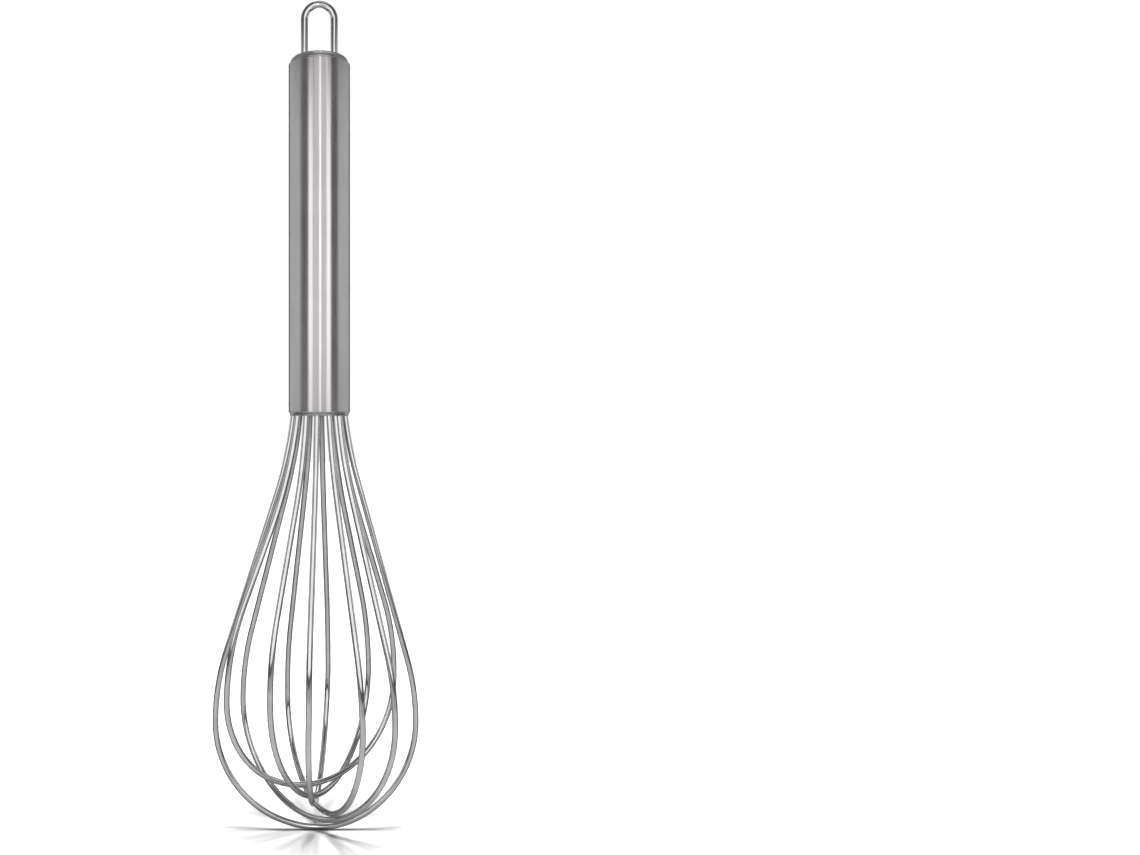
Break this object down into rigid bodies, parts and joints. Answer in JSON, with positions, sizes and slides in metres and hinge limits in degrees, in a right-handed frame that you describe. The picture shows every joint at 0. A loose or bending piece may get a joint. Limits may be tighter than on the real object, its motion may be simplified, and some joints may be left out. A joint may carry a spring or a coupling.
{
  "type": "balloon whisk",
  "caption": "Balloon whisk: nested bent-wire loops held in a brushed tubular handle with a wire hanging loop.",
  "frame": {"origin": "the bearing point of a hook: the lowest point of the underside of the hanging loop's crown, on the whisk's axis", "axes": "+Z along the whisk's axis, from the wire cage to the hanging loop; X in the plane of the hanging loop"},
  "size_m": [0.0749, 0.0741, 0.3007],
  "materials": {
    "handle_steel": "brushed lengthwise, satin",
    "cap_steel": "pressed and polished, satin",
    "hook_wire": "polished",
    "whisk_wire": "polished",
    "weld_metal": "as welded",
    "plug_plastic": "moulded, matte",
    "resin": "cast, cured"
  },
  "bodies": {
    "root": {"handle_tube": "handle_steel", "end_cap": "cap_steel", "hanging_loop": "hook_wire", "weld_beads": "weld_metal", "mouth_plug": "plug_plastic", "resin_fill": "resin", "wire_loop_1": "whisk_wire", "wire_loop_2": "whisk_wire", "wire_loop_3": "whisk_wire", "wire_loop_4": "whisk_wire", "wire_loop_5": "whisk_wire", "wire_loop_6": "whisk_wire"}
  },
  "joints": []
}
